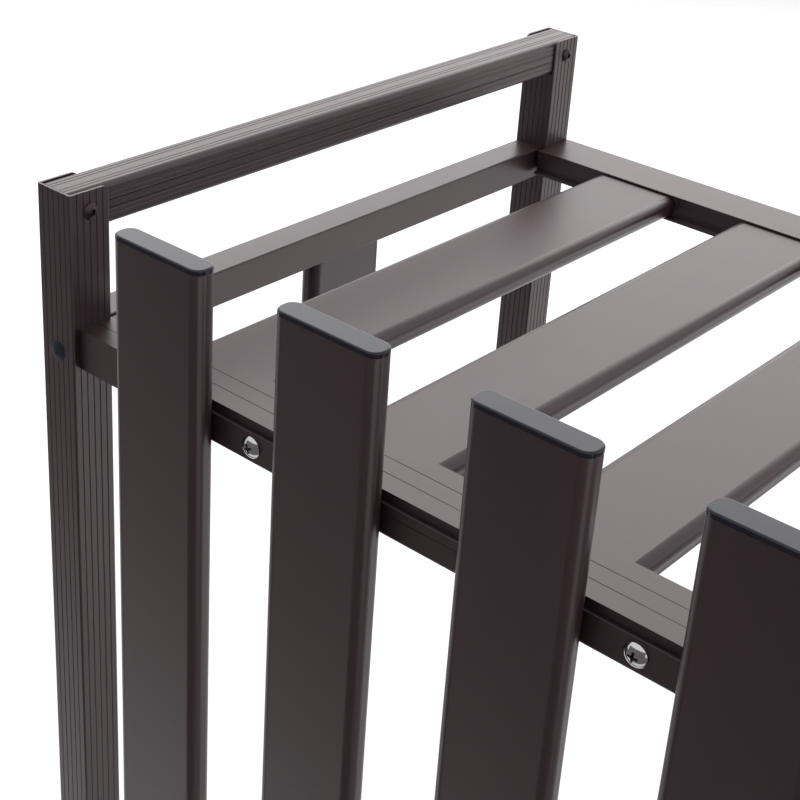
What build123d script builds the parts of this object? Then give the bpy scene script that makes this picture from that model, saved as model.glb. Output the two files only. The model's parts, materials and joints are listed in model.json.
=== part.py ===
"""Slatted aluminium luggage rack, rigid and bolted, with a vertical lattice front.

Millimetres, +X to the right along the front, +Y to the back, +Z up. The origin is
the middle of the footprint on the floor.
"""

import os

from build123d import *

os.makedirs("parts", exist_ok=True)

# Overall sizes
overall_width = 840.0  # over the outer faces of the posts
frame_depth = 385.0  # over the outer faces of the posts
overall_height = 800.0  # floor to the top of the posts
shelf_drop = 65.8  # top of the posts down to the top of the shelf rails

# Corner posts: grooved square tube
post_size = 22.5
post_wall = 1.2
post_corner = 1.0
post_groove_pitch = 3.65
post_groove_count = 5
groove_width = 0.65  # 90-degree vee, half as deep as it is wide

# Clearances
fit = 0.1  # between a fixed piece and the hollow it fills
running = 0.05  # radial, round a shaft or a screw shank
butt = 0.05  # between the end of a rail and the face it butts on

# Top side rails: grooved square tube that slips into the open tops of the posts
top_rail_size = post_size - 2 * post_wall - 2 * fit
top_rail_wall = 1.3
top_rail_corner = 2.8
top_rail_groove_pair = 2.3
top_rail_groove_offset = 4.0  # rail's middle to the middle of a pair
post_ear_radius = 4.2  # rounded top corner beside the notch

# Plain box rails: side rails, lower front rail and lower back rail
box_rail_width = 18.0
box_rail_height = 18.5
box_rail_wall = 1.4
box_rail_corner = 0.8
box_rail_port_height = 4.3  # screw port's middle above the rail's underside
lower_rail_top = 120.0

# Shelf front and back rails: box with a skirt outside and a ledge inside
ledge_rail_width = 30.0
ledge_rail_height = 20.0
ledge_rail_wall = 1.6
ledge_rail_floor = 1.2
ledge_rail_box_height = 14.5
ledge_reach = 2.5
ledge_rail_port_drop = 5.5
ledge_rail_setback = 3.5  # front rail behind the front faces of the posts
ledge_rail_grooves = (10.0, 19.4)  # along the front rail's top, from its front face
ledge_groove_width = 0.4

# Screw ports
port_outer_radius = 3.3
port_rib = 1.6

# Slats: flat tube with rounded edges, used for shelf, lattice and sides
slat_width = 53.0
slat_thickness = 11.8
slat_wall = 1.3
slat_edge_radius = 5.0
slat_count = 8
shelf_slat_inset = 92.8  # rack's outer face to the middle of the first shelf slat
shelf_slat_recess = 1.2
shelf_slat_back_gap = 0.8
front_slat_inset = 88.4  # rack's outer face to the middle of the first front slat
front_slat_top_drop = 3.4
front_slat_bottom = 40.0

# Lattice bars that carry the front slats
bar_thickness = 2.0
bar_height = 13.6
bar_top_drop = 4.4  # below the top of the shelf rails
bar_end_inset = 2.0  # bar's end inside the edge of the first slat
lower_bar_drop = 0.7  # below the top of the lower front rail

# Plastic caps and pegged inserts
cap_height = 2.4
cap_overhang = 0.1
cap_edge = 1.0
cap_plug_length = 12.0
insert_fit = 0.25
insert_length = 15.0
peg_radius = 2.5
peg_length = 4.0
short_peg_radius = 2.0
short_peg_length = 1.1
short_peg_hole_depth = 1.2
peg_spacing = 28.0

# Fasteners
shank_radius = 2.0
frame_screw_head_radius = 3.9
frame_screw_head_height = 2.8
frame_screw_length = 20.0
clear_hole_radius = 2.15
access_hole_radius = 4.3
plug_flange_radius = 5.0
plug_dome = 1.6
plug_stem_length = 3.5
button_head_radius = 3.9
button_head_height = 2.3
button_socket_radius = 1.7
button_socket_depth = 1.3
button_screw_length = 8.0
truss_head_radius = 5.05
truss_head_height = 2.6
truss_screw_length = 12.0
cross_recess_width = 1.2
cross_recess_length = 5.0
cross_recess_depth = 1.7
flat_head_radius = 3.6
flat_head_height = 1.6
flat_screw_length = 8.0
flat_screw_spacing = 24.0

# Levelling feet
foot_gap = 22.0  # floor to the underside of the post's insert, feet screwed out
foot_flange = 2.0
foot_insert_length = 22.0
stud_radius = 4.0
thread_pitch = 1.25
thread_depth = 0.6
stud_top = 48.0
collar_flats = 13.0
collar_height = 4.5
pad_radius = 14.0
pad_rim_height = 4.0
pad_neck_radius = 8.0
pad_height = 9.0
pad_gap = 0.3  # pad's top to the stud's collar
pin_radius = 3.0
pin_seat = 3.0
pin_end_gap = 0.1

# Places that follow from the sizes
slat_proud = bar_thickness + slat_thickness - ledge_rail_setback
total_depth = slat_proud + frame_depth + plug_dome
front_face = -total_depth / 2 + slat_proud
back_face = front_face + frame_depth
outer_face = overall_width / 2
inner_face = outer_face - post_size
front_post_y = front_face + post_size / 2
back_post_y = back_face - post_size / 2
post_x = outer_face - post_size / 2
post_bottom = foot_gap + foot_flange
shelf_top = overall_height - shelf_drop
top_rail_z = overall_height - top_rail_size / 2
ledge_front_face = front_face + ledge_rail_setback
shelf_port_z = shelf_top - ledge_rail_port_drop
lower_port_z = lower_rail_top - box_rail_height + box_rail_port_height
side_port_z = shelf_top - box_rail_height + box_rail_port_height
front_port_y = ledge_front_face + box_rail_width / 2
back_port_y = back_face - box_rail_width / 2
bar_front = ledge_front_face - bar_thickness
slat_front = bar_front - slat_thickness
slat_mid_y = bar_front - slat_thickness / 2
front_slat_top = overall_height - front_slat_top_drop
shelf_slat_z = shelf_top - shelf_slat_recess - slat_thickness / 2
shelf_slat_front = ledge_front_face + ledge_rail_width + butt
shelf_slat_back = back_face - ledge_rail_width - shelf_slat_back_gap
side_board_y = (front_face + back_face) / 2
side_board_top = shelf_top - box_rail_height
upper_bar_z = shelf_top - bar_top_drop - bar_height / 2
lower_bar_z = lower_rail_top - lower_bar_drop - bar_height / 2
port_bore_radius = shank_radius + running

X_DIR = Vector(1, 0, 0)
Y_DIR = Vector(0, 1, 0)
Z_DIR = Vector(0, 0, 1)
STANDING = (Align.CENTER, Align.CENTER, Align.MIN)


def spread(inset):
    """X of each slat's middle, evenly spaced between two insets from the outer faces."""
    first = inset - outer_face
    step = -2 * first / (slat_count - 1)
    return [first + step * index for index in range(slat_count)]


shelf_slat_x = spread(shelf_slat_inset)
front_slat_x = spread(front_slat_inset)
truss_screw_x = [(front_slat_x[i] + front_slat_x[i + 1]) / 2 for i in range(0, slat_count - 1, 2)]
flat_screw_x = [x + side * flat_screw_spacing / 2 for x in front_slat_x for side in (-1, 1)]


def section_along_x(x, y, z):
    """Sketch plane at x, with +Y to its right and +Z up."""
    return Plane(origin=(x, y, z), x_dir=Y_DIR, z_dir=X_DIR)


def section_along_y(x, y, z):
    """Sketch plane at y, with +X to its right and +Z up; it extrudes towards -Y."""
    return Plane(origin=(x, y, z), x_dir=X_DIR, z_dir=-Y_DIR)


def aimed(point, direction):
    """Plane at point whose normal is direction, for a hole or a fastener."""
    side = X_DIR if abs(direction.X) < 0.5 else Y_DIR
    return Plane(origin=point, x_dir=side, z_dir=direction)


def drill(points, direction, radius, depth):
    """Round holes from points along direction, cut from the part being built."""
    with Locations(*[aimed(point, direction) for point in points]):
        Cylinder(radius, depth, align=STANDING, mode=Mode.SUBTRACT)


def cut_face_grooves(size, offsets, width):
    """Fine vee grooves on the four faces of a square profile, in the open sketch."""
    edge = size / 2
    across = [(offset, side * edge) for offset in offsets for side in (-1, 1)]
    with Locations(*across, *[(y, x) for x, y in across]):
        RegularPolygon(width / 2, 4, mode=Mode.SUBTRACT)


def save(part, name):
    part.label = name
    export_step(part, f"parts/{name}.step")


# Corner posts


def build_post(side, end):
    """side is -1 at the left and +1 at the right; end is -1 at the front, +1 at the back."""
    x = side * post_x
    y = front_post_y if end < 0 else back_post_y
    half = post_size / 2
    hollow = post_size - 2 * post_wall
    middle = (post_groove_count - 1) / 2
    offsets = [(i - middle) * post_groove_pitch for i in range(post_groove_count)]
    with BuildPart() as post:
        with BuildSketch(Plane((x, y, post_bottom))):
            RectangleRounded(post_size, post_size, post_corner)
            Rectangle(hollow, hollow, mode=Mode.SUBTRACT)
            cut_face_grooves(post_size, offsets, groove_width)
        extrude(amount=overall_height - post_bottom)
        cut_rail_notch(x, y - end * half, end)
        drill_post(x, y, side, end)
    return post.part


def cut_rail_notch(x, inner_y, end):
    """Opens the wall towards the other post and rounds the two ears beside it."""
    hollow = post_size - 2 * post_wall
    with BuildSketch(Plane((x, inner_y, overall_height))) as notch:
        Rectangle(hollow, 2 * (post_wall + fit))
    extrude(notch.sketch, amount=-top_rail_size - fit, mode=Mode.SUBTRACT)
    radius = post_ear_radius
    ear_middle = section_along_x(x - post_size / 2, inner_y + end * radius, overall_height - radius)
    with BuildSketch(ear_middle) as ears:
        with Locations((-end * radius / 2, radius / 2)):
            Rectangle(radius, radius)
        Circle(radius, mode=Mode.SUBTRACT)
    extrude(ears.sketch, amount=post_size, mode=Mode.SUBTRACT)


def drill_post(x, y, side, end):
    """Screw holes in the inner walls, and access holes in the outer walls opposite them."""
    half = post_size / 2
    cross_y = front_port_y if end < 0 else back_port_y
    cross = [(x, cross_y, z) for z in (shelf_port_z, lower_port_z)]
    along = [(x, y, z) for z in (side_port_z, lower_port_z)]
    inward_x = Vector(-side, 0, 0)
    inward_y = Vector(0, -end, 0)
    outer_cross = [point - inward_x * half for point in map(Vector, cross)]
    outer_along = [point - inward_y * half for point in map(Vector, along)]
    drill(outer_cross, inward_x, access_hole_radius, post_wall + fit)
    drill(outer_along, inward_y, access_hole_radius, post_wall + fit)
    drill([*cross, (x, y, top_rail_z)], inward_x, clear_hole_radius, half + fit)
    drill(along, inward_y, clear_hole_radius, half + fit)


for side, side_name in ((-1, "left"), (1, "right")):
    for end, end_name in ((-1, "front"), (1, "back")):
        save(build_post(side, end), f"{end_name}_{side_name}_post")


# Top side rails


def build_top_side_rail(side):
    inside = top_rail_size - 2 * top_rail_wall
    length = frame_depth - 2 * post_wall - 2 * fit
    start = back_face - post_wall - fit
    pair = (-top_rail_groove_pair / 2, top_rail_groove_pair / 2)
    offsets = [centre * top_rail_groove_offset + half for centre in (-1, 1) for half in pair]
    with BuildPart() as rail:
        with BuildSketch(section_along_y(side * post_x, start, top_rail_z)):
            RectangleRounded(top_rail_size, top_rail_size, top_rail_corner)
            inner_corner = top_rail_corner - top_rail_wall
            RectangleRounded(inside, inside, inner_corner, mode=Mode.SUBTRACT)
            cut_face_grooves(top_rail_size, offsets, groove_width)
        extrude(amount=length)
        holes = [(side * post_x, y, top_rail_z) for y in (front_post_y, back_post_y)]
        drill(holes, Vector(-side, 0, 0), port_bore_radius, top_rail_size)
    return rail.part


save(build_top_side_rail(-1), "top_side_rail_left")
save(build_top_side_rail(1), "top_side_rail_right")


# Plain box rails


def sketch_box_rail():
    """Box profile with a screw port standing on its lower wall, in the open sketch."""
    inside_width = box_rail_width - 2 * box_rail_wall
    inside_height = box_rail_height - 2 * box_rail_wall
    RectangleRounded(box_rail_width, box_rail_height, box_rail_corner)
    Rectangle(inside_width, inside_height, mode=Mode.SUBTRACT)
    with Locations((0, box_rail_port_height - box_rail_height / 2)):
        Circle(port_outer_radius)
        Circle(port_bore_radius, mode=Mode.SUBTRACT)


def build_side_rail(side, top, board_face, into_rail):
    """Side rail with two peg holes where the side board meets it, at board_face."""
    start = back_face - post_size - butt
    length = frame_depth - 2 * post_size - 2 * butt
    x = side * post_x
    with BuildPart() as rail:
        with BuildSketch(section_along_y(x, start, top - box_rail_height / 2)):
            sketch_box_rail()
        extrude(amount=length)
        pegs_y = (side_board_y - peg_spacing / 2, side_board_y + peg_spacing / 2)
        holes = [(x, y, board_face) for y in pegs_y]
        drill(holes, into_rail, short_peg_radius + fit, short_peg_hole_depth)
    return rail.part


for side, side_name in ((-1, "left"), (1, "right")):
    shelf_rail = build_side_rail(side, shelf_top, side_board_top, Z_DIR)
    save(shelf_rail, f"shelf_side_rail_{side_name}")
    lower_rail = build_side_rail(side, lower_rail_top, lower_rail_top, -Z_DIR)
    save(lower_rail, f"lower_side_rail_{side_name}")


def build_lower_cross_rail(y, bar_screws):
    """Box rail between the side frames; bar_screws drills it for the lattice bar."""
    z = lower_rail_top - box_rail_height / 2
    with BuildPart() as rail:
        with BuildSketch(section_along_x(-inner_face + butt, y, z)):
            sketch_box_rail()
        extrude(amount=2 * inner_face - 2 * butt)
        if bar_screws:
            holes = [(x, y - box_rail_width / 2, lower_bar_z) for x in truss_screw_x]
            drill(holes, Y_DIR, port_bore_radius, box_rail_wall + fit)
    return rail.part


save(build_lower_cross_rail(front_port_y, True), "lower_front_rail")
save(build_lower_cross_rail(back_port_y, False), "lower_back_rail")


# Shelf front and back rails


def sketch_ledge_rail(inward):
    """Profile from its outer top edge; inward is +1 when the shelf is on the sketch's right."""
    width = ledge_rail_width
    box = ledge_rail_box_height
    ledge = shelf_slat_recess + slat_thickness
    Polygon(
        (0, 0),
        (inward * width, 0),
        (inward * width, -ledge),
        (inward * (width + ledge_reach), -ledge),
        (inward * (width + ledge_reach), -box),
        (inward * ledge_rail_wall, -box),
        (inward * ledge_rail_wall, -ledge_rail_height),
        (0, -ledge_rail_height),
        align=None,
    )
    hollow_height = box - ledge_rail_wall - ledge_rail_floor
    with Locations((inward * width / 2, -ledge_rail_wall - hollow_height / 2)):
        Rectangle(width - 2 * ledge_rail_wall, hollow_height, mode=Mode.SUBTRACT)
    port_x = inward * box_rail_width / 2
    with Locations((port_x, -ledge_rail_port_drop / 2)):
        Rectangle(port_rib, ledge_rail_port_drop)
    with Locations((port_x, -ledge_rail_port_drop)):
        Circle(port_outer_radius)
        Circle(port_bore_radius, mode=Mode.SUBTRACT)


def drill_peg_holes(face_y, direction):
    offsets = (-peg_spacing / 2, peg_spacing / 2)
    holes = [(x + offset, face_y, shelf_slat_z) for x in shelf_slat_x for offset in offsets]
    drill(holes, direction, peg_radius + fit, ledge_rail_wall + fit)


def build_shelf_front_rail():
    with BuildPart() as rail:
        with BuildSketch(section_along_x(-inner_face + butt, ledge_front_face, shelf_top)):
            sketch_ledge_rail(1)
            with Locations(*[(distance, 0) for distance in ledge_rail_grooves]):
                RegularPolygon(ledge_groove_width / 2, 4, mode=Mode.SUBTRACT)
        extrude(amount=2 * inner_face - 2 * butt)
        drill_peg_holes(ledge_front_face + ledge_rail_width, -Y_DIR)
        holes = [(x, ledge_front_face, upper_bar_z) for x in truss_screw_x]
        drill(holes, Y_DIR, port_bore_radius, ledge_rail_wall + fit)
    return rail.part


def build_shelf_back_rail():
    with BuildPart() as rail:
        with BuildSketch(section_along_x(-inner_face + butt, back_face, shelf_top)):
            sketch_ledge_rail(-1)
        extrude(amount=2 * inner_face - 2 * butt)
        drill_peg_holes(back_face - ledge_rail_width, Y_DIR)
    return rail.part


save(build_shelf_front_rail(), "shelf_front_rail")
save(build_shelf_back_rail(), "shelf_back_rail")


# Slats: one flat tube profile in three directions


def sketch_slat():
    """Flat tube, wide in the sketch's x, in the open sketch."""
    inner_radius = slat_edge_radius - slat_wall
    RectangleRounded(slat_width, slat_thickness, slat_edge_radius)
    inside = (slat_width - 2 * slat_wall, slat_thickness - 2 * slat_wall)
    RectangleRounded(*inside, inner_radius, mode=Mode.SUBTRACT)


def build_shelf_slat(x):
    with BuildPart() as slat:
        with BuildSketch(section_along_y(x, shelf_slat_back, shelf_slat_z)):
            sketch_slat()
        extrude(amount=shelf_slat_back - shelf_slat_front)
    return slat.part


def build_front_slat(x):
    with BuildPart() as slat:
        with BuildSketch(Plane((x, slat_mid_y, front_slat_bottom))):
            sketch_slat()
        extrude(amount=front_slat_top - front_slat_bottom)
        screws_x = (x - flat_screw_spacing / 2, x + flat_screw_spacing / 2)
        holes = [(hole_x, bar_front, z) for hole_x in screws_x for z in (upper_bar_z, lower_bar_z)]
        drill(holes, -Y_DIR, port_bore_radius, slat_wall + fit)
    return slat.part


def build_side_board(side):
    length = side_board_top - lower_rail_top - 2 * butt
    plane = Plane(
        origin=(side * post_x, side_board_y, lower_rail_top + butt), x_dir=Y_DIR, z_dir=Z_DIR
    )
    with BuildPart() as board:
        with BuildSketch(plane):
            sketch_slat()
        extrude(amount=length)
    return board.part


for index in range(slat_count):
    save(build_shelf_slat(shelf_slat_x[index]), f"shelf_slat_{index + 1}")
    save(build_front_slat(front_slat_x[index]), f"front_slat_{index + 1}")
save(build_side_board(-1), "side_board_left")
save(build_side_board(1), "side_board_right")


# Lattice bars


def build_lattice_bar(z):
    first_edge = front_slat_x[0] - slat_width / 2
    length = -2 * (first_edge + bar_end_inset)
    back = ledge_front_face - butt
    with BuildPart() as bar:
        with BuildSketch(section_along_y(0, back, z)):
            Rectangle(length, bar_height)
            with Locations(*[(x, 0) for x in truss_screw_x]):
                Circle(clear_hole_radius, mode=Mode.SUBTRACT)
        extrude(amount=bar_thickness - 2 * butt)
        with Locations(*[aimed((x, back, z), Y_DIR) for x in flat_screw_x]):
            CounterSinkHole(shank_radius + fit, flat_head_radius + fit, bar_thickness, 90)
    return bar.part


save(build_lattice_bar(upper_bar_z), "lattice_bar_upper")
save(build_lattice_bar(lower_bar_z), "lattice_bar_lower")


# Caps and pegged inserts


def build_caps(top, upwards):
    """Black caps on one end of every front slat; their plugs reach into the tubes."""
    outward = Z_DIR if upwards else -Z_DIR
    cap_width = slat_width + 2 * cap_overhang
    cap_depth = slat_thickness + 2 * cap_overhang
    plug_width = slat_width - 2 * slat_wall - 2 * insert_fit
    plug_depth = slat_thickness - 2 * slat_wall - 2 * insert_fit
    plug_corner = slat_edge_radius - slat_wall - insert_fit
    with BuildPart() as caps:
        for x in front_slat_x:
            base = Plane(origin=(x, slat_mid_y, top), x_dir=X_DIR, z_dir=outward)
            with BuildSketch(base):
                RectangleRounded(cap_width, cap_depth, slat_edge_radius + cap_overhang)
            extrude(amount=cap_height)
        fillet(caps.edges().group_by(Axis.Z)[-1 if upwards else 0], cap_edge)
        for x in front_slat_x:
            base = Plane(origin=(x, slat_mid_y, top), x_dir=X_DIR, z_dir=outward)
            with BuildSketch(base):
                RectangleRounded(plug_width, plug_depth, plug_corner)
            extrude(amount=-cap_plug_length)
    return caps.part


save(build_caps(front_slat_top + butt, True), "front_slat_top_caps")
save(build_caps(front_slat_bottom - butt, False), "front_slat_bottom_caps")


def add_insert(mouth, radius, reach):
    """One insert at the mouth of a slat, with two pegs standing out of it."""
    width = slat_width - 2 * slat_wall - 2 * insert_fit
    depth = slat_thickness - 2 * slat_wall - 2 * insert_fit
    with BuildSketch(mouth) as body:
        RectangleRounded(width, depth, slat_edge_radius - slat_wall - insert_fit)
    extrude(body.sketch, amount=-insert_length)
    with BuildSketch(mouth) as pegs:
        with Locations((-peg_spacing / 2, 0), (peg_spacing / 2, 0)):
            Circle(radius)
    extrude(pegs.sketch, amount=reach)


def build_shelf_slat_inserts(mouth_y, direction, gap):
    with BuildPart() as inserts:
        for x in shelf_slat_x:
            mouth = Plane(origin=(x, mouth_y, shelf_slat_z), x_dir=X_DIR, z_dir=direction)
            add_insert(mouth, peg_radius, gap + peg_length)
    return inserts.part


def build_side_board_inserts():
    with BuildPart() as inserts:
        for side in (-1, 1):
            for z, direction in ((side_board_top - butt, Z_DIR), (lower_rail_top + butt, -Z_DIR)):
                place = (side * post_x, side_board_y, z)
                mouth = Plane(origin=place, x_dir=Y_DIR, z_dir=direction)
                add_insert(mouth, short_peg_radius, butt + short_peg_length)
    return inserts.part


save(build_shelf_slat_inserts(shelf_slat_front, -Y_DIR, butt), "shelf_slat_inserts_front")
save(build_shelf_slat_inserts(shelf_slat_back, Y_DIR, shelf_slat_back_gap), "shelf_slat_inserts_back")
save(build_side_board_inserts(), "side_board_inserts")


# Fasteners


def add_pan_screw(seat, direction):
    """Frame screw whose head bears on seat and whose shank runs along direction."""
    with Locations(aimed(seat, -direction)):
        Cylinder(frame_screw_head_radius, frame_screw_head_height, align=STANDING)
    with Locations(aimed(seat, direction)):
        Cylinder(shank_radius, frame_screw_length, align=STANDING)


def build_side_rail_screws(z):
    """Screws along Y, from inside each post into the port of a side rail."""
    inner = post_size - post_wall - butt
    with BuildPart() as screws:
        for side in (-1, 1):
            add_pan_screw((side * post_x, front_face + inner, z), Y_DIR)
            add_pan_screw((side * post_x, back_face - inner, z), -Y_DIR)
    return screws.part


def build_cross_rail_screws(z):
    """Screws along X, from inside each post into the port of a front or back rail."""
    with BuildPart() as screws:
        for side in (-1, 1):
            for y in (front_port_y, back_port_y):
                seat_x = side * (inner_face + post_wall + butt)
                add_pan_screw((seat_x, y, z), Vector(-side, 0, 0))
    return screws.part


save(build_side_rail_screws(side_port_z), "shelf_side_rail_screws")
save(build_side_rail_screws(lower_port_z), "lower_side_rail_screws")
save(build_cross_rail_screws(shelf_port_z), "shelf_cross_rail_screws")
save(build_cross_rail_screws(lower_port_z), "lower_cross_rail_screws")


def add_domed_head(face, direction, radius, height):
    """Spherical dome that stands on face and rises along direction."""
    sphere_radius = (radius**2 + height**2) / (2 * height)
    across = aimed(face, direction).x_dir
    with BuildSketch(Plane(origin=face, x_dir=across, z_dir=across.cross(direction))) as section:
        with Locations((0, height - sphere_radius)):
            Circle(sphere_radius)
        with Locations((radius, height / 2)):
            Rectangle(2 * radius, height, mode=Mode.INTERSECT)
    revolve(section.sketch, axis=Axis(face, direction))


def build_access_plugs(cross_z, side_z):
    """Domed plugs over the access holes in the outer faces of the posts."""
    stem_radius = access_hole_radius - fit
    seats = []
    for side in (-1, 1):
        for y in (front_port_y, back_port_y):
            seats.append((Vector(side * outer_face, y, cross_z), Vector(side, 0, 0)))
        seats.append((Vector(side * post_x, front_face, side_z), -Y_DIR))
        seats.append((Vector(side * post_x, back_face, side_z), Y_DIR))
    with BuildPart() as plugs:
        for seat, outward in seats:
            face = seat + outward * butt
            add_domed_head(face, outward, plug_flange_radius, plug_dome - butt)
            with Locations(aimed(face, -outward)):
                Cylinder(stem_radius, plug_stem_length, align=STANDING)
    return plugs.part


save(build_access_plugs(shelf_port_z, side_port_z), "shelf_access_plugs")
save(build_access_plugs(lower_port_z, lower_port_z), "lower_access_plugs")


def build_top_rail_screws():
    """Button-head screws through the inner wall of each post into the top side rail."""
    with BuildPart() as screws:
        for side in (-1, 1):
            for y in (front_post_y, back_post_y):
                outward = Vector(-side, 0, 0)
                face = Vector(side * inner_face, y, top_rail_z) + outward * butt
                add_domed_head(face, outward, button_head_radius, button_head_height)
                with Locations(aimed(face, -outward)):
                    Cylinder(shank_radius, button_screw_length, align=STANDING)
                with BuildSketch(aimed(face + outward * button_head_height, -outward)):
                    RegularPolygon(button_socket_radius, 6)
                extrude(amount=button_socket_depth, mode=Mode.SUBTRACT)
    return screws.part


def build_truss_screws(z):
    """Bright cross-recess screws that hold a lattice bar to the rail behind it."""
    with BuildPart() as screws:
        for x in truss_screw_x:
            face = Vector(x, bar_front, z)
            add_domed_head(face, -Y_DIR, truss_head_radius, truss_head_height)
            with Locations(aimed(face, Y_DIR)):
                Cylinder(shank_radius, truss_screw_length, align=STANDING)
            with BuildSketch(aimed(face - Y_DIR * truss_head_height, Y_DIR)):
                Rectangle(cross_recess_width, cross_recess_length)
                Rectangle(cross_recess_length, cross_recess_width)
            extrude(amount=cross_recess_depth, mode=Mode.SUBTRACT)
    return screws.part


def build_flat_screws(z):
    """Countersunk screws from behind a lattice bar into the backs of the front slats."""
    back = ledge_front_face - butt
    with BuildPart() as screws:
        with Locations(*[aimed((x, back, z), -Y_DIR) for x in flat_screw_x]):
            Cone(flat_head_radius, shank_radius, flat_head_height, align=STANDING)
            Cylinder(shank_radius, flat_screw_length, align=STANDING)
    return screws.part


save(build_top_rail_screws(), "top_rail_screws")
save(build_truss_screws(upper_bar_z), "lattice_screws_upper")
save(build_truss_screws(lower_bar_z), "lattice_screws_lower")
save(build_flat_screws(upper_bar_z), "slat_screws_upper")
save(build_flat_screws(lower_bar_z), "slat_screws_lower")


# Levelling feet


def build_foot_inserts():
    """Threaded plastic inserts in the open bottoms of the posts."""
    body = post_size - 2 * post_wall - 2 * fit
    with BuildPart() as inserts:
        for x in (-post_x, post_x):
            for y in (front_post_y, back_post_y):
                with BuildSketch(Plane((x, y, foot_gap))):
                    RectangleRounded(post_size, post_size, post_corner)
                    Circle(stud_radius + running, mode=Mode.SUBTRACT)
                extrude(amount=foot_flange - butt)
                with BuildSketch(Plane((x, y, foot_gap + foot_flange - 2 * butt))):
                    Rectangle(body, body)
                    Circle(stud_radius + running, mode=Mode.SUBTRACT)
                extrude(amount=foot_insert_length)
    return inserts.part


def build_foot_stud(x, y):
    """Threaded stud with a hex collar and a plain pin that turns in the pad."""
    pin_bottom = pin_seat + pin_end_gap
    collar_bottom = pad_height + pad_gap
    thread_bottom = collar_bottom + collar_height
    turns = int((stud_top - thread_bottom) / thread_pitch)
    root = stud_radius - thread_depth
    outline = [(0, pin_bottom), (pin_radius, pin_bottom), (pin_radius, thread_bottom)]
    outline.append((root, thread_bottom))
    for turn in range(turns):
        foot = thread_bottom + turn * thread_pitch
        outline.append((stud_radius, foot + thread_pitch / 2))
        outline.append((root, foot + thread_pitch))
    outline.append((0, thread_bottom + turns * thread_pitch))
    with BuildPart() as stud:
        with BuildSketch(section_along_y(x, y, 0)):
            Polygon(*outline, align=None)
        revolve(axis=Axis((x, y, 0), Z_DIR))
        with BuildSketch(Plane((x, y, collar_bottom))):
            RegularPolygon(collar_flats / 2, 6, major_radius=False)
        extrude(amount=collar_height)
    return stud.part


def build_foot_pad(x, y):
    """Round pad with a socket for the stud's pin."""
    outline = [(pin_radius + running, pin_seat), (0, pin_seat), (0, 0), (pad_radius, 0)]
    outline += [(pad_radius, pad_rim_height), (pad_neck_radius, pad_height)]
    outline.append((pin_radius + running, pad_height))
    with BuildPart() as pad:
        with BuildSketch(section_along_y(x, y, 0)):
            Polygon(*outline, align=None)
        revolve(axis=Axis((x, y, 0), Z_DIR))
    return pad.part


save(build_foot_inserts(), "foot_inserts")
for side, side_name in ((-1, "left"), (1, "right")):
    for y, end_name in ((front_post_y, "front"), (back_post_y, "back")):
        save(build_foot_stud(side * post_x, y), f"foot_stud_{end_name}_{side_name}")
        save(build_foot_pad(side * post_x, y), f"foot_pad_{end_name}_{side_name}")
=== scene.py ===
"""Finishes, small hardware and studio for a slatted aluminium luggage rack.

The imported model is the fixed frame. Lengths in the settings are in metres.
"""

import json
import math

import bmesh
import bpy
from bpy.props import FloatProperty, FloatVectorProperty, PointerProperty
from mathutils import Euler, Matrix, Vector


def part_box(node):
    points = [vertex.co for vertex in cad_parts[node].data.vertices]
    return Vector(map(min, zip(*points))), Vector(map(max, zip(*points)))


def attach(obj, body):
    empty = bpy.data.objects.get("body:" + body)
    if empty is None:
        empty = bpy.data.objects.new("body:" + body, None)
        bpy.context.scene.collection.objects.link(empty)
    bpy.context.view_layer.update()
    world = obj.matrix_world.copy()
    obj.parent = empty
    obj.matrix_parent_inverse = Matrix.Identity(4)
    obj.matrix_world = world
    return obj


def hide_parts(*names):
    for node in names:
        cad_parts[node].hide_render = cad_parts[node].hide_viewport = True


bl_info = {
    "name": "Slatted Luggage Rack",
    "version": (1, 0, 0),
    "blender": (4, 5, 0),
    "location": "View3D > Sidebar > Rack",
    "description": "Finishes, small hardware and studio for a slatted aluminium luggage rack",
    "category": "Object",
}

MM = 0.001

# Shading: edges sharper than this stay crisp
CRISP_ANGLE = 35
# Edges of the extrusions: points nearer than the reach are joined, and only corners
# sharper than the angle are rounded
WELD_REACH = 0.002 * MM
ROUNDED_ANGLE = 50
ROUNDING_STEPS = 2

# Screws: gap under a seated head, and how far a cutter stands over the metal it cuts
SEAT_GAP = 0.05 * MM
CUTTER_OVERLAP = 0.3 * MM
UNDERCUT = 0.97  # a head's underside, as a share of its radius
POINT = 0.6  # a screw's point, as a share of its shank
CROSS_WING = 0.62 * MM
CROSS_ARM = 2.55 * MM
CROSS_DEPTH = 1.9 * MM
CROSS_TAPER = 0.55
SOCKET_CORNER = 1.75 * MM
SOCKET_DEPTH = 1.4 * MM
SOCKET_TAPER = 0.96
SOCKET_SCREW_LENGTH = 8 * MM
FIRST_TURN, NEXT_TURN = 20, 67  # degrees: hand-driven screws stop at odd angles

# Levelling feet
THREAD_RADIUS = 4.0 * MM
THREAD_ROWS = 8  # rows of points for each turn
CREST_WIDTH = 1.25  # over 1, the thread's crest is flat
PIN_RADIUS = 3.0 * MM
PIN_CHAMFER = 0.2 * MM
COLLAR_LOW, COLLAR_HIGH = 0.3 * MM, 4.8 * MM  # over the pad's top
COLLAR_SLOPE = 0.58  # of the turned-off corners, rise for each length inwards

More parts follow.
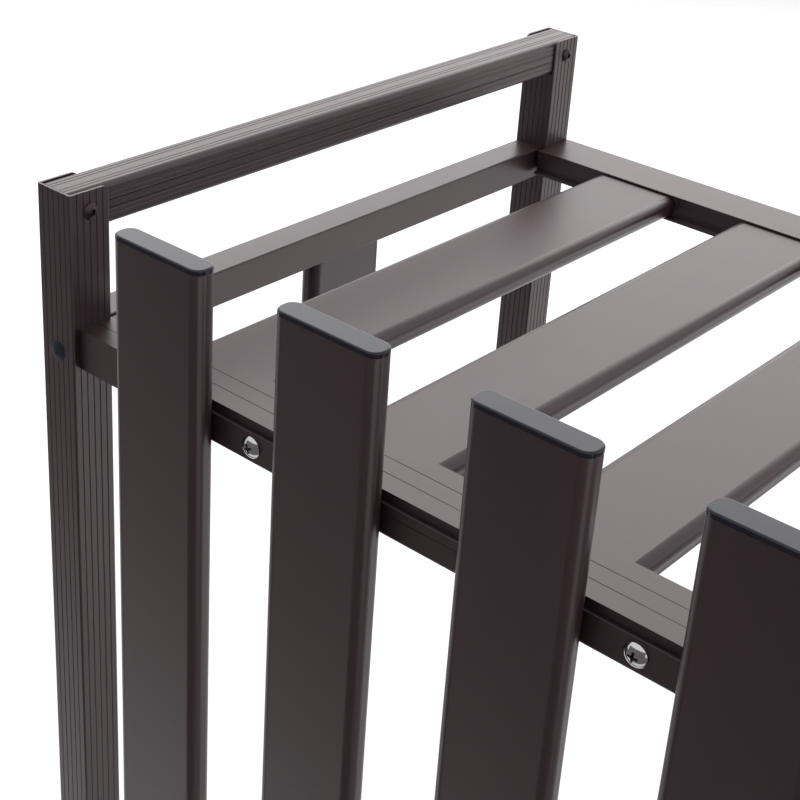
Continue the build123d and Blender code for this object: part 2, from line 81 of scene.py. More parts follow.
# Studio, in metres
LIGHT_AIM = Vector((0, 0, 0.55))
OVERHEAD_PLACE, OVERHEAD_SIZE = (-1.6, 1.9, 2.1), (3.6, 3.0)
SIDE_PLACE, SIDE_SIZE = (1.9, 1.2, 0.75), (1.6, 1.4)
PAPER_HALF_WIDTH = 16.0
PAPER_BEND_START, PAPER_BEND_RADIUS, PAPER_TOP = 7.5, 1.5, 6.0
PAPER_BEND_STEPS = 12
# The felt is a painted dark reflection: seen only in glossy reflections, it stands in for the
# unlit room in front of the rack
FELT_LEFT, FELT_RIGHT, FELT_FAR = -3.5, 2.5, -2.6
FELT_THICKNESS = 2 * MM
SENSOR_WIDTH = 36
CAMERA_SHIFT = (0.03, -0.14)

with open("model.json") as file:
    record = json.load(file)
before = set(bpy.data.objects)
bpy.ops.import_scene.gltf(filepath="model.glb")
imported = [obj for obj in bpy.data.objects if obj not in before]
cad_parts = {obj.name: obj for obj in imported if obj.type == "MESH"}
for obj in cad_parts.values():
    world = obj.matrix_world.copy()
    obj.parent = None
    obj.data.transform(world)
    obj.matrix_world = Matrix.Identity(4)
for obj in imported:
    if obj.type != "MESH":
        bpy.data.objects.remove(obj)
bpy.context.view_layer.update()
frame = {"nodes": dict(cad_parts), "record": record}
SLOTS = {part["node"]: part["material_slot"] for part in frame["record"]["subparts"]}
BODIES = frame["record"]["behaviour"]["bodies"]
BODY_OF = {node: body for body, nodes in BODIES.items() for node in nodes}


def linear(hex_colour):
    """Turns an sRGB hex colour into linear RGB."""
    channels = [int(hex_colour[i : i + 2], 16) / 255 for i in (0, 2, 4)]
    return tuple(c / 12.92 if c <= 0.04045 else ((c + 0.055) / 1.055) ** 2.4 for c in channels)


# Settings


class RackFinishSettings(bpy.types.PropertyGroup):
    bronze: FloatVectorProperty(
        name="Bronze film",
        description="Colour of the anodised film seen face on",
        subtype="COLOR",
        default=linear("3E2A2F"),
        min=0,
        max=1,
    )
    bronze_roughness: FloatProperty(
        name="Film roughness",
        description="Roughness of the outside of the anodised film",
        default=0.36,
        min=0,
        max=1,
        subtype="FACTOR",
    )
    metal_roughness: FloatProperty(
        name="Metal roughness",
        description="Roughness of the matt-etched aluminium under the film",
        default=0.7,
        min=0,
        max=1,
        subtype="FACTOR",
    )
    plastic: FloatVectorProperty(
        name="Black plastic",
        description="Colour of the caps and foot parts",
        subtype="COLOR",
        default=linear("0F0E17"),
        min=0,
        max=1,
    )
    plug_plastic: FloatVectorProperty(
        name="Plug plastic",
        description="Colour of the push-in plugs over the access holes",
        subtype="COLOR",
        default=linear("1A1D29"),
        min=0,
        max=1,
    )
    bar_rounding: FloatProperty(
        name="Bar rounding",
        description="Radius to which the edges of the two flat lattice bars are rolled",
        default=0.7 * MM,
        min=0,
        unit="LENGTH",
    )
    edge_break: FloatProperty(
        name="Edge break",
        description="Radius to which the sharp edges of the extrusions are broken",
        default=0.25 * MM,
        min=0,
        unit="LENGTH",
    )


class RackHardwareSettings(bpy.types.PropertyGroup):
    truss_head_radius: FloatProperty(
        name="Truss head radius",
        description="Radius of the bright screws on the lattice bars",
        default=5.05 * MM,
        min=0,
        unit="LENGTH",
    )
    truss_head_height: FloatProperty(
        name="Truss head height",
        description="How far the bright screws stand out of the lattice bars",
        default=2.6 * MM,
        min=0,
        unit="LENGTH",
    )
    button_head_radius: FloatProperty(
        name="Button head radius",
        description="Radius of the socket screws through the top of the posts",
        default=3.9 * MM,
        min=0,
        unit="LENGTH",
    )
    button_head_height: FloatProperty(
        name="Button head height",
        description="How far the socket screws stand out of the posts",
        default=2.3 * MM,
        min=0,
        unit="LENGTH",
    )
    shank_radius: FloatProperty(
        name="Shank radius",
        description="Radius of the small screws' shanks",
        default=2.0 * MM,
        min=0,
        unit="LENGTH",
    )
    thread_pitch: FloatProperty(
        name="Foot thread pitch",
        description="Pitch of the thread on the levelling feet",
        default=1.25 * MM,
        min=0,
        unit="LENGTH",
    )
    thread_depth: FloatProperty(
        name="Foot thread depth",
        description="Depth of the thread on the levelling feet",
        default=0.6 * MM,
        min=0,
        unit="LENGTH",
    )


class RackStudioSettings(bpy.types.PropertyGroup):
    floor: FloatVectorProperty(
        name="Floor",
        description="Colour of the seamless floor",
        subtype="COLOR",
        default=linear("F4F4F4"),
        min=0,
        max=1,
    )
    room_light: FloatProperty(
        name="Room light",
        description="Strength of the even light from all round",
        default=1.0,
        min=0,
    )
    overhead_power: FloatProperty(
        name="Overhead power",
        description="Power of the softbox above and behind the rack, in watts",
        default=48,
        min=0,
    )
    side_power: FloatProperty(
        name="Side power",
        description="Power of the softbox beside the rack, in watts",
        default=4,
        min=0,
    )
    felt_edge_left: FloatProperty(
        name="Felt's left end",
        description="Place of the felt's near edge at its left end, in front of the rack",
        default=-0.88,
        unit="LENGTH",
    )
    felt_edge_right: FloatProperty(
        name="Felt's right end",
        description="Place of the felt's near edge at its right end, in front of the rack",
        default=-0.35,
        unit="LENGTH",
    )
    felt_height: FloatProperty(
        name="Felt's height",
        description="Height to which the felt is hung in front of the rack",
        default=1.7,
        unit="LENGTH",
    )
    camera_place: FloatVectorProperty(
        name="Camera place",
        description="Where the camera stands",
        subtype="TRANSLATION",
        unit="LENGTH",
        default=(121.2 * MM, -595.9 * MM, 1072.9 * MM),
    )
    camera_turn: FloatVectorProperty(
        name="Camera turn",
        description="How the camera is turned",
        subtype="EULER",
        default=(math.radians(64.484), math.radians(-3.147), math.radians(41.492)),
    )
    camera_lens: FloatProperty(
        name="Focal length",
        description="Focal length of the lens in millimetres",
        default=72.6,
        min=1,
    )


# Nodes and materials


def add_node(tree, kind, settings=None, links=None):
    """Adds a node, gives it its settings and input values, and links its inputs."""
    node = tree.nodes.new(kind)
    for name, value in (settings or {}).items():
        if name in node.inputs:
            node.inputs[name].default_value = value
        else:
            setattr(node, name, value)
    for name, source in (links or {}).items():
        tree.links.new(source, node.inputs[name])
    return node


def new_material(name):
    """An empty material, its node tree and its shader."""
    material = bpy.data.materials.new(name)
    material.use_nodes = True
    tree = material.node_tree
    tree.nodes.clear()
    shader = add_node(tree, "ShaderNodeBsdfPrincipled")
    add_node(tree, "ShaderNodeOutputMaterial", links={"Surface": shader.outputs["BSDF"]})
    return material, tree, shader


def place_pattern(tree, period):
    """Object coordinates divided by a pattern's real period along each axis, in metres."""
    place = add_node(tree, "ShaderNodeTexCoord")
    return add_node(
        tree,
        "ShaderNodeMapping",
        {"Scale": [1 / length for length in period]},
        {"Vector": place.outputs["Object"]},
    )


def anodised_aluminium(settings, along):
    """Aluminium extrusion, etched matt and anodised dark bronze.

    The hard clear oxide film lies over metal that is seen through its dyed pores: nearly
    black face on, pale grey where light grazes the film. Faint die lines run the length
    of the piece, and the dye is not quite even.
    """
    material, tree, shader = new_material(f"dark_bronze_anodised_aluminium_{'xyz'[along]}")
    shader.inputs["Metallic"].default_value = 1.0
    shader.inputs["Specular Tint"].default_value = (*linear("BCADAF"), 1)
    shader.inputs["Coat Weight"].default_value = 1.0
    shader.inputs["Coat IOR"].default_value = 1.6
    # Die lines are finer than 0.1 mm: they are drawn 0.5 mm apart, to show at all
    line_period = [0.5 * MM] * 3
    line_period[along] = 120 * MM
    lines = add_node(
        tree,
        "ShaderNodeTexNoise",
        {"Scale": 1.0, "Detail": 3.0, "Roughness": 0.6},
        {"Vector": place_pattern(tree, line_period).outputs["Vector"]},
    )
    cloud_period = [35 * MM] * 3
    cloud_period[along] = 140 * MM
    clouds = add_node(
        tree,
        "ShaderNodeTexNoise",
        {"Scale": 1.0, "Detail": 2.0},
        {"Vector": place_pattern(tree, cloud_period).outputs["Vector"]},
    )
    tone = add_node(tree, "ShaderNodeValToRGB", links={"Fac": clouds.outputs["Fac"]})
    tone.color_ramp.elements[0].position = 0.3
    tone.color_ramp.elements[0].color = [0.92 * c for c in settings.bronze] + [1]
    tone.color_ramp.elements[1].position = 0.7
    tone.color_ramp.elements[1].color = [1.08 * c for c in settings.bronze] + [1]
    tree.links.new(tone.outputs["Color"], shader.inputs["Base Color"])
    matt = add_node(
        tree,
        "ShaderNodeMapRange",
        {
            "From Min": 0.3,
            "From Max": 0.7,
            "To Min": settings.bronze_roughness - 0.03,
            "To Max": settings.bronze_roughness + 0.03,
        },
        {"Value": lines.outputs["Fac"]},
    )
    tree.links.new(matt.outputs["Result"], shader.inputs["Coat Roughness"])
    shader.inputs["Roughness"].default_value = settings.metal_roughness
    # The etched surface itself: a grain of 0.25 mm, coarser than the real one
    grain = add_node(
        tree,
        "ShaderNodeTexNoise",
        {"Scale": 1.0, "Detail": 2.0},
        {"Vector": place_pattern(tree, [0.25 * MM] * 3).outputs["Vector"]},
    )
    etched = add_node(
        tree,
        "ShaderNodeBump",
        {"Strength": 0.05, "Distance": 0.02 * MM},
        {"Height": grain.outputs["Fac"]},
    )
    drawn = add_node(
        tree,
        "ShaderNodeBump",
        {"Strength": 0.1, "Distance": 0.01 * MM},
        {"Height": lines.outputs["Fac"], "Normal": etched.outputs["Normal"]},
    )
    tree.links.new(drawn.outputs["Normal"], shader.inputs["Normal"])
    tree.links.new(drawn.outputs["Normal"], shader.inputs["Coat Normal"])
    return material


def moulded_plastic(name, colour, ior, sheen_level, smoothest, roughest):
    """Plastic from a smooth mould, with faint flow marks and orange-peel.

    Its carbon black gives the reflections a slightly blue cast, and its roughness
    varies between smoothest and roughest along the flow marks.
    """
    material, tree, shader = new_material(name)
    shader.inputs["IOR"].default_value = ior
    shader.inputs["Specular IOR Level"].default_value = sheen_level
    shader.inputs["Specular Tint"].default_value = (*linear("F9FAFF"), 1)
    flow = add_node(
        tree,
        "ShaderNodeTexNoise",
        {"Scale": 1.0, "Detail": 2.0},
        {"Vector": place_pattern(tree, [6 * MM] * 3).outputs["Vector"]},
    )
    shade = add_node(tree, "ShaderNodeValToRGB", links={"Fac": flow.outputs["Fac"]})
    shade.color_ramp.elements[0].position = 0.35
    shade.color_ramp.elements[0].color = [0.8 * c for c in colour] + [1]
    shade.color_ramp.elements[1].position = 0.65
    shade.color_ramp.elements[1].color = [1.2 * c for c in colour] + [1]
    tree.links.new(shade.outputs["Color"], shader.inputs["Base Color"])
    gloss = add_node(
        tree,
        "ShaderNodeMapRange",
        {
            "From Min": 0.35,
            "From Max": 0.65,
            "To Min": smoothest,
            "To Max": roughest,
        },
        {"Value": flow.outputs["Fac"]},
    )
    tree.links.new(gloss.outputs["Result"], shader.inputs["Roughness"])
    peel = add_node(
        tree,
        "ShaderNodeTexNoise",
        {"Scale": 1.0, "Detail": 1.0},
        {"Vector": place_pattern(tree, [1.2 * MM] * 3).outputs["Vector"]},
    )
    skin = add_node(
        tree,
        "ShaderNodeBump",
        {"Strength": 0.03, "Distance": 0.05 * MM},
        {"Height": peel.outputs["Fac"]},
    )
    tree.links.new(skin.outputs["Normal"], shader.inputs["Normal"])
    return material


def moulded_polypropylene(settings):
    """Black polypropylene from a polished mould: a clear gloss."""
    return moulded_plastic(
        "black_moulded_polypropylene",
        settings.plastic,
        ior=1.49,
        sheen_level=0.44,
        smoothest=0.14,
        roughest=0.2,
    )


def moulded_polyethylene(settings):
    """Black low-density polyethylene, as soft push-in plugs are: waxy, with a dull bloom."""
    return moulded_plastic(
        "black_moulded_polyethylene",
        settings.plug_plastic,
        ior=1.51,
        sheen_level=0.15,
        smoothest=0.5,
        roughest=0.58,
    )


def plated_steel(name, hex_colour, roughness, spread, grain):
    """Steel with a metal coat; roughness varies by spread over a grain in metres."""
    material, tree, shader = new_material(name)
    shader.inputs["Metallic"].default_value = 1.0
    shader.inputs["Base Color"].default_value = (*linear(hex_colour), 1)
    spots = add_node(
        tree,
        "ShaderNodeTexNoise",
        {"Scale": 1.0, "Detail": 3.0},
        {"Vector": place_pattern(tree, [grain] * 3).outputs["Vector"]},
    )
    rough = add_node(
        tree,
        "ShaderNodeMapRange",
        {
            "From Min": 0.35,
            "From Max": 0.65,
            "To Min": max(0.0, roughness - spread),
            "To Max": roughness + spread,
        },
        {"Value": spots.outputs["Fac"]},
    )
    tree.links.new(rough.outputs["Result"], shader.inputs["Roughness"])
    return material


def bright_chromium():
    """Nickel-chromium plate over polished steel: a clear, slightly blue mirror."""
    return plated_steel(
        "bright_chromium_plate", "C4C5C6", roughness=0.09, spread=0.03, grain=2 * MM
    )


def painted_shade_recess_chromium():
    """The plate inside a cross recess: thin and dull, as little current gets there; its dark
    colour is painted shade for the recess.
    """
    # The dark grey base colour is painted shade in the cross recess, far darker than the
    # bright plate
    return plated_steel(
        "painted_shade_recess_plate", "6E6C6E", roughness=0.4, spread=0.06, grain=0.5 * MM
    )


def black_phosphate():
    """Steel blackened by phosphating and oiled: dark, with a dull sheen."""
    name = "black_phosphated_steel"
    made = bpy.data.materials.get(name)
    return made or plated_steel(name, "463C3F", roughness=0.42, spread=0.08, grain=0.8 * MM)


def bright_zinc():
    """Electroplated zinc with a clear passivate: pale, slightly grey and streaky."""
    return plated_steel(
        "bright_zinc_plate", "B9BDC2", roughness=0.3, spread=0.08, grain=1.5 * MM
    )


def painted_reflection_felt():
    """Charcoal wool felt, with the slight unevenness of its nap, used as a painted dark
    reflection: a sheet seen only in reflections, standing in for the unlit room in front of
    the rack.
    """
    material, tree, shader = new_material("painted_reflection_felt")
    nap = add_node(
        tree,
        "ShaderNodeTexNoise",
        {"Scale": 1.0, "Detail": 3.0},
        {"Vector": place_pattern(tree, [15 * MM] * 3).outputs["Vector"]},
    )
    tint = add_node(tree, "ShaderNodeValToRGB", links={"Fac": nap.outputs["Fac"]})
    tint.color_ramp.elements[0].color = (*linear("6A6566"), 1)
    tint.color_ramp.elements[1].color = (*linear("716C6D"), 1)
    tree.links.new(tint.outputs["Color"], shader.inputs["Base Color"])
    shader.inputs["Roughness"].default_value = 1.0
    return material


def seamless_paper(settings):
    """Matt white paper, with the faint mottling of its pulp."""
    material, tree, shader = new_material("white_seamless_paper")
    pulp = add_node(
        tree,
        "ShaderNodeTexNoise",
        {"Scale": 1.0, "Detail": 3.0},
        {"Vector": place_pattern(tree, [30 * MM] * 3).outputs["Vector"]},
    )
    tint = add_node(tree, "ShaderNodeValToRGB", links={"Fac": pulp.outputs["Fac"]})
    tint.color_ramp.elements[0].color = [0.98 * c for c in settings.floor] + [1]
    tint.color_ramp.elements[1].color = list(settings.floor) + [1]
    tree.links.new(tint.outputs["Color"], shader.inputs["Base Color"])
    shader.inputs["Roughness"].default_value = 0.9
    return material


# Shapes


def link_object(name, mesh):
    """A new object with a mesh, put in the scene."""
    piece = bpy.data.objects.new(name, mesh)
    bpy.context.collection.objects.link(piece)
    return piece


def finish_node(node, material):
    """Gives a CAD node its material."""
    for slot in frame["nodes"][node].material_slots:
        slot.material = material


def break_edges(node, width):
    """Rounds a CAD node's sharp edges a little, so that they catch the light."""
    piece = frame["nodes"][node]
    weld = piece.modifiers.new("joined_faces", "WELD")
    weld.merge_threshold = WELD_REACH
    bevel = piece.modifiers.new("broken_edges", "BEVEL")
    bevel.width = width
    bevel.segments = ROUNDING_STEPS
    bevel.limit_method = "ANGLE"
    bevel.angle_limit = math.radians(ROUNDED_ANGLE)
    bevel.harden_normals = True


def lathe(profile, steps):
    """A closed turned mesh about +Z from (radius, height) points; its ends lie on the axis."""
    form = bmesh.new()
    rings = []
    for radius, height in profile:
        if radius < 1e-9:
            rings.append([form.verts.new((0, 0, height))])
            continue
        angles = [2 * math.pi * step / steps for step in range(steps)]
        points = [(radius * math.cos(a), radius * math.sin(a), height) for a in angles]
        rings.append([form.verts.new(point) for point in points])
    for lower, upper in zip(rings, rings[1:]):
        for step in range(steps):
            after = (step + 1) % steps
            corners = [lower[step % len(lower)], lower[after % len(lower)]]
            corners += [upper[after % len(upper)], upper[step % len(upper)]]
            form.faces.new(list(dict.fromkeys(corners)))
    bmesh.ops.recalc_face_normals(form, faces=form.faces)
    mesh = bpy.data.meshes.new("turned")
    form.to_mesh(mesh)
    form.free()
    return mesh


def prism(outline, taper, low, high):
    """A closed prism from an outline at height high, shrunk by taper at height low."""
    form = bmesh.new()
    bottom = [form.verts.new((x * taper, y * taper, low)) for x, y in outline]
    top = [form.verts.new((x, y, high)) for x, y in outline]
    form.faces.new(bottom[::-1])
    form.faces.new(top)
    for i in range(len(outline)):
        after = (i + 1) % len(outline)
        form.faces.new([bottom[i], bottom[after], top[after], top[i]])
    bmesh.ops.recalc_face_normals(form, faces=form.faces)
    mesh = bpy.data.meshes.new("prism")
    form.to_mesh(mesh)
    form.free()
    return mesh


def hexagon(corner):
    """Outline of a hexagon whose corners lie at a distance from its middle."""
    angles = [math.pi * i / 3 for i in range(6)]
    return [(corner * math.cos(a), corner * math.sin(a)) for a in angles]


def machine(mesh, cutter, operation):
    """The mesh less the cutter mesh (DIFFERENCE), or what the two share (INTERSECT)."""
    piece = link_object("blank", mesh)
    tool = link_object("tool", cutter)
    boolean = piece.modifiers.new("machined", "BOOLEAN")
    boolean.operation = operation
    boolean.solver = "EXACT"
    boolean.object = tool
    bpy.context.view_layer.update()
    evaluated = piece.evaluated_get(bpy.context.evaluated_depsgraph_get())
    result = bpy.data.meshes.new_from_object(evaluated)
    for spare in (piece, tool):
        bpy.data.objects.remove(spare)
    return result


def smooth(mesh):
    """Smooth shading, with sharp edges left crisp."""
    mesh.polygons.foreach_set("use_smooth", [True] * len(mesh.polygons))
    mesh.set_sharp_from_angle(angle=math.radians(CRISP_ANGLE))


def copies(name, mesh, places, materials):
    """One piece made of copies of a mesh at several places, each a matrix."""
    form = bmesh.new()
    for place in places:
        copy = mesh.copy()
        copy.transform(place)
        form.from_mesh(copy)
        bpy.data.meshes.remove(copy)
    joined = bpy.data.meshes.new(name)
    form.to_mesh(joined)
    form.free()
    smooth(joined)
    for material in materials:
        joined.materials.append(material)
    piece = link_object(name, joined)
    return piece


def dome(radius, height, rim, steps):
    """Profile points of a domed head above a short upright rim, from the rim to the top."""
    crown = height - rim
    sphere = (radius**2 + crown**2) / (2 * crown)
    half_angle = math.asin(radius / sphere)
    points = []
    for step in range(steps + 1):
        angle = half_angle * (1 - step / steps)
        points.append((sphere * math.sin(angle), height - sphere + sphere * math.cos(angle)))
    return points


def facing(point, direction):
    """Matrix that stands a +Z shape at a point along a direction."""
    turn = Vector(direction).to_track_quat("Z", "Y").to_matrix().to_4x4()
    return Matrix.Translation(point) @ turn


def middle(node):
    """Middle of a CAD node's box."""
    low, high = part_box(node)
    return (low + high) / 2


# Screws and feet


def screw_blank(shank, length, radius, height, flange, rim, steps, sides):
    """A domed screw without its recess, its head standing up from z = 0.

    The head's underside is chamfered up to flange, and its dome begins at rim.
    """
    profile = [(0, -length), (shank * POINT, -length), (shank, -length + shank), (shank, 0)]
    profile += [(radius * UNDERCUT, 0), (radius, flange)]
    profile += dome(radius, height, rim, steps)
    return lathe(profile, sides)


def truss_screw_mesh(settings, length):
    """Cross-recess truss-head screw, its head standing up from z = 0."""
    radius = settings.truss_head_radius
    height = settings.truss_head_height
    shank = settings.shank_radius
    blank = screw_blank(shank, length, radius, height, 0.25 * MM, 0.45 * MM, 14, 64)
    wing, arm = CROSS_WING, CROSS_ARM
    cross = [(arm, -wing), (arm, wing), (wing, wing), (wing, arm), (-wing, arm), (-wing, wing)]
    cross += [(-x, -y) for x, y in cross]
    recess = prism(cross, CROSS_TAPER, height - CROSS_DEPTH, height + CUTTER_OVERLAP)
    recess.polygons.foreach_set("material_index", [1] * len(recess.polygons))
    return machine(blank, recess, "DIFFERENCE")


def button_screw_mesh(settings, length):
    """Hex-socket button-head screw, its head standing up from z = 0."""
    radius = settings.button_head_radius
    height = settings.button_head_height
    shank = settings.shank_radius
    blank = screw_blank(shank, length, radius, height, 0.2 * MM, 0.35 * MM, 10, 48)
    outline = hexagon(SOCKET_CORNER)
    socket = prism(outline, SOCKET_TAPER, height - SOCKET_DEPTH, height + CUTTER_OVERLAP)
    return machine(blank, socket, "DIFFERENCE")


def thread_mesh(radius, depth, pitch, low, high, steps):
    """A right-hand thread from low to high, with a chamfered start and flat ends."""
    form = bmesh.new()
    rows = int((high - low) / pitch * THREAD_ROWS)
    rings = []
    for row in range(rows + 1):
        height = low + (high - low) * row / rows
        fade = min(1.0, (high - height) / pitch)
        ring = []
        for step in range(steps):
            angle = 2 * math.pi * step / steps
            phase = ((height - low) / pitch - step / steps) % 1.0
            ridge = 1 - abs(2 * phase - 1)
            here = radius - depth * (1 - fade * min(1.0, CREST_WIDTH * ridge))
            point = (here * math.cos(angle), here * math.sin(angle), height)
            ring.append(form.verts.new(point))
        rings.append(ring)
    for lower, upper in zip(rings, rings[1:]):
        for step in range(steps):
            after = (step + 1) % steps
            form.faces.new([lower[step], lower[after], upper[after], upper[step]])
    form.faces.new(rings[0][::-1])
    form.faces.new(rings[-1])
    mesh = bpy.data.meshes.new("thread")
    form.to_mesh(mesh)
    form.free()
    return mesh


def hex_collar_mesh(flats, low, high):
    """A hexagonal collar with its corners turned off at both ends."""
    corner = flats / math.sqrt(3)
    block = prism(hexagon(corner), 1.0, low, high)
    flat = flats / 2
    rise = (corner - flat) * COLLAR_SLOPE
    turned = [(0, low), (flat, low), (corner, low + rise)]
    turned += [(corner, high - rise), (flat, high), (0, high)]
    return machine(block, lathe(turned, 64), "INTERSECT")


# Operators


class RACK_OT_extrusions(bpy.types.Operator):
    """Anodise the posts, rails, slats and bars, and break their sharp edges"""

    bl_idname = "rack.extrusions"
    bl_label = "Extrusions"

    def execute(self, context):
        settings = context.scene.rack_finish
        by_axis = [anodised_aluminium(settings, axis) for axis in range(3)]
        for node, slot in SLOTS.items():
            if slot != "bronze_aluminium":
                continue
            low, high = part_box(node)
            size = high - low
            finish_node(node, by_axis[max(range(3), key=lambda axis: size[axis])])
            is_bar = node.startswith("lattice_bar_")
            break_edges(node, settings.bar_rounding if is_bar else settings.edge_break)
        return {"FINISHED"}


class RACK_OT_plastics(bpy.types.Operator):
    """Give the caps, plugs, inserts and foot pads their moulded black plastic"""

    bl_idname = "rack.plastics"
    bl_label = "Plastic parts"

    def execute(self, context):
        settings = context.scene.rack_finish
        hard, soft = moulded_polypropylene(settings), moulded_polyethylene(settings)
        for node, slot in SLOTS.items():
            if slot == "black_plastic":
                finish_node(node, soft if node.endswith("_access_plugs") else hard)
        return {"FINISHED"}


class RACK_OT_frame_screws(bpy.types.Operator):
    """Blacken the screws inside the frame and those behind the lattice bars"""

    bl_idname = "rack.frame_screws"
    bl_label = "Frame screws"

    def execute(self, context):
        material = black_phosphate()
        for node, slot in SLOTS.items():
            if slot == "black_steel":
                finish_node(node, material)
        return {"FINISHED"}


class RACK_OT_lattice_screws(bpy.types.Operator):
    """Make the bright cross-recess screws on the two lattice bars"""

    bl_idname = "rack.lattice_screws"
    bl_label = "Lattice screws"

    def execute(self, context):
        settings = context.scene.rack_hardware
        # The recess plate is darkened as painted shade inside the cross recesses
        chrome, recess = bright_chromium(), painted_shade_recess_chromium()
        slats = [middle(f"front_slat_{i}").x for i in range(1, 9)]
        columns = [(slats[i] + slats[i + 1]) / 2 for i in range(0, 8, 2)]
        for level in ("upper", "lower"):
            node = f"lattice_screws_{level}"
            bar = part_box(f"lattice_bar_{level}")
            face, z = bar[0].y - SEAT_GAP, (bar[0].z + bar[1].z) / 2
            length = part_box(node)[1].y - face
            mesh = truss_screw_mesh(settings, length)
            places = []
            for number, x in enumerate(columns):
                turn = math.radians(FIRST_TURN + NEXT_TURN * number)
                spin = Matrix.Rotation(turn, 4, "Z")
                places.append(facing((x, face, z), (0, -1, 0)) @ spin)
            name, materials = f"truss_screws_{level}", [chrome, recess]
            piece = copies(name, mesh, places, materials)
            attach(piece, "rack")
            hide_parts(node)
        return {"FINISHED"}


class RACK_OT_top_rail_screws(bpy.types.Operator):
    """Make the socket screws that hold the top side rails in the posts"""

    bl_idname = "rack.top_rail_screws"
    bl_label = "Top rail screws"

    def execute(self, context):
        settings = context.scene.rack_hardware
        places = []
        for side, sign in (("left", 1), ("right", -1)):
            z = middle(f"top_side_rail_{side}").z
            for end in ("front", "back"):
                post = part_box(f"{end}_{side}_post")
                face = (post[1].x if sign > 0 else post[0].x) + sign * SEAT_GAP
                y = (post[0].y + post[1].y) / 2
                places.append(facing((face, y, z), (sign, 0, 0)))
        mesh = button_screw_mesh(settings, SOCKET_SCREW_LENGTH)
        piece = copies("socket_screws", mesh, places, [black_phosphate()])
        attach(piece, "rack")
        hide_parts("top_rail_screws")
        return {"FINISHED"}


class RACK_OT_foot_studs(bpy.types.Operator):
    """Make the threaded studs of the levelling feet"""

    bl_idname = "rack.foot_studs"
    bl_label = "Foot studs"

    def execute(self, context):
        settings = context.scene.rack_hardware
        zinc = bright_zinc()
        for node in SLOTS:
            if not node.startswith("foot_stud_"):
                continue
            low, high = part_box(node)
            pad_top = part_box(node.replace("stud", "pad"))[1].z
            collar = (pad_top + COLLAR_LOW, pad_top + COLLAR_HIGH)
            pin = [(0, low.z), (PIN_RADIUS - PIN_CHAMFER, low.z)]
            pin += [(PIN_RADIUS, low.z + PIN_CHAMFER), (PIN_RADIUS, collar[0]), (0, collar[0])]
            parts = [lathe(pin, 32), hex_collar_mesh(high.y - low.y, *collar)]
            thread = (THREAD_RADIUS, settings.thread_depth, settings.thread_pitch)
            parts.append(thread_mesh(*thread, collar[1], high.z, 48))
            form = bmesh.new()
            for part in parts:
                form.from_mesh(part)
            mesh = bpy.data.meshes.new("stud")
            form.to_mesh(mesh)
            form.free()
            place = Matrix.Translation(((low.x + high.x) / 2, (low.y + high.y) / 2, 0))
            name = node.replace("foot_stud", "threaded_stud")
            piece = copies(name, mesh, [place], [zinc])
            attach(piece, BODY_OF[node])
            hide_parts(node)
        return {"FINISHED"}


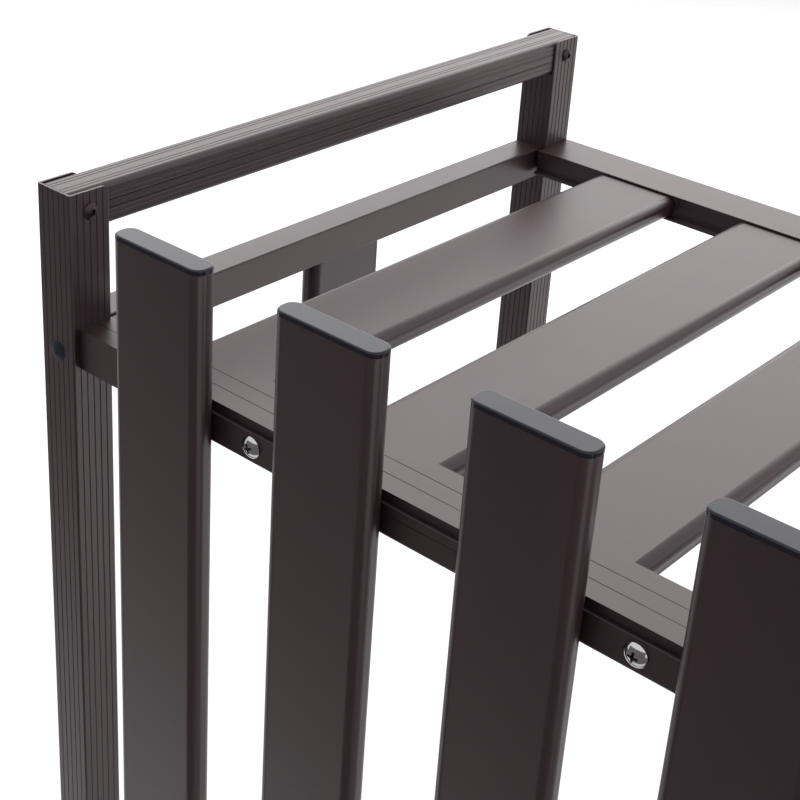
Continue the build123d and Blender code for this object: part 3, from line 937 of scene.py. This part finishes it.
class RACK_OT_studio(bpy.types.Operator):
    """Set up the floor, the lights and the camera"""

    bl_idname = "rack.studio"
    bl_label = "Studio"

    def execute(self, context):
        settings = context.scene.rack_studio
        self.lay_floor(settings)
        self.lay_painted_reflection_felt(settings)
        self.set_room_light(context, settings)
        overhead, side = settings.overhead_power, settings.side_power
        self.hang_softbox("overhead_softbox", OVERHEAD_PLACE, OVERHEAD_SIZE, overhead)
        self.hang_softbox("side_softbox", SIDE_PLACE, SIDE_SIZE, side)
        self.set_camera(context, settings)
        context.scene.view_settings.view_transform = "Standard"
        return {"FINISHED"}

    def lay_floor(self, settings):
        """A paper sweep: flat under the rack, curving up far behind it."""
        form = bmesh.new()
        half, start, radius = PAPER_HALF_WIDTH, PAPER_BEND_START, PAPER_BEND_RADIUS
        path = [(-half, 0.0), (start, 0.0)]
        for step in range(1, PAPER_BEND_STEPS + 1):
            angle = math.pi / 2 * step / PAPER_BEND_STEPS
            path.append((start + radius * math.sin(angle), radius - radius * math.cos(angle)))
        path.append((start + radius, PAPER_TOP))
        rows = [[form.verts.new((x, y, z)) for x in (-half, half)] for y, z in path]
        for near, far in zip(rows, rows[1:]):
            form.faces.new([near[0], near[1], far[1], far[0]])
        mesh = bpy.data.meshes.new("paper_sweep")
        form.to_mesh(mesh)
        form.free()
        mesh.materials.append(seamless_paper(settings))
        smooth(mesh)
        link_object("paper_sweep", mesh)

    def lay_painted_reflection_felt(self, settings):
        """Felt laid and hung in front of the rack, seen only as a dark reflection."""
        left, right, far, low = FELT_LEFT, FELT_RIGHT, FELT_FAR, FELT_THICKNESS
        form = bmesh.new()
        edge = [(left, settings.felt_edge_left, low), (right, settings.felt_edge_right, low)]
        fold = [(left, far, low), (right, far, low)]
        top = [(left, far, settings.felt_height), (right, far, settings.felt_height)]
        rows = [[form.verts.new(corner) for corner in row] for row in (edge, fold, top)]
        for near, away in zip(rows, rows[1:]):
            form.faces.new([near[0], near[1], away[1], away[0]])
        mesh = bpy.data.meshes.new("felt")
        form.to_mesh(mesh)
        form.free()
        mesh.materials.append(painted_reflection_felt())
        felt = link_object("felt", mesh)
        # Hidden from the camera, diffuse light and shadows: the felt is only a painted dark
        # reflection
        felt.visible_camera = False
        felt.visible_diffuse = False
        felt.visible_shadow = False

    def set_room_light(self, context, settings):
        world = bpy.data.worlds.new("room")
        world.use_nodes = True
        background = world.node_tree.nodes["Background"]
        background.inputs["Color"].default_value = (1, 1, 1, 1)
        background.inputs["Strength"].default_value = settings.room_light
        context.scene.world = world

    def hang_softbox(self, name, place, size, power):
        """A rectangular softbox aimed at the rack's middle."""
        lamp = bpy.data.lights.new(name, "AREA")
        lamp.shape = "RECTANGLE"
        lamp.size, lamp.size_y = size
        lamp.energy = power
        box = bpy.data.objects.new(name, lamp)
        box.location = place
        aim = LIGHT_AIM - Vector(place)
        box.rotation_euler = aim.to_track_quat("-Z", "Y").to_euler()
        box.visible_camera = False
        bpy.context.collection.objects.link(box)

    def set_camera(self, context, settings):
        data = bpy.data.cameras.new("camera")
        data.lens = settings.camera_lens
        data.sensor_width = SENSOR_WIDTH
        data.shift_x, data.shift_y = CAMERA_SHIFT
        camera = bpy.data.objects.new("camera", data)
        camera.location = settings.camera_place
        camera.rotation_euler = Euler(settings.camera_turn, "XYZ")
        bpy.context.collection.objects.link(camera)
        context.scene.camera = camera


class RACK_PT_panel(bpy.types.Panel):
    """Lists the rack's pieces and settings"""

    bl_idname = "RACK_PT_panel"
    bl_label = "Slatted Luggage Rack"
    bl_space_type = "VIEW_3D"
    bl_region_type = "UI"
    bl_category = "Rack"

    def draw(self, context):
        for operator in OPERATORS:
            self.layout.operator(operator.bl_idname)
        for name in SETTINGS:
            group = getattr(context.scene, name)
            column = self.layout.column()
            for key in group.__annotations__:
                column.prop(group, key)


OPERATORS = (
    RACK_OT_extrusions,
    RACK_OT_plastics,
    RACK_OT_frame_screws,
    RACK_OT_lattice_screws,
    RACK_OT_top_rail_screws,
    RACK_OT_foot_studs,
    RACK_OT_studio,
)
SETTINGS = {
    "rack_finish": RackFinishSettings,
    "rack_hardware": RackHardwareSettings,
    "rack_studio": RackStudioSettings,
}


def register():
    for group in (*SETTINGS.values(), *OPERATORS, RACK_PT_panel):
        bpy.utils.register_class(group)
    for name, group in SETTINGS.items():
        setattr(bpy.types.Scene, name, PointerProperty(type=group))


def unregister():
    for name in SETTINGS:
        delattr(bpy.types.Scene, name)
    for group in (RACK_PT_panel, *OPERATORS, *SETTINGS.values()):
        bpy.utils.unregister_class(group)


def main():
    register()
    for operator in OPERATORS:
        group, name = operator.bl_idname.split(".")
        getattr(getattr(bpy.ops, group), name)()


if __name__ == "__main__":
    main()
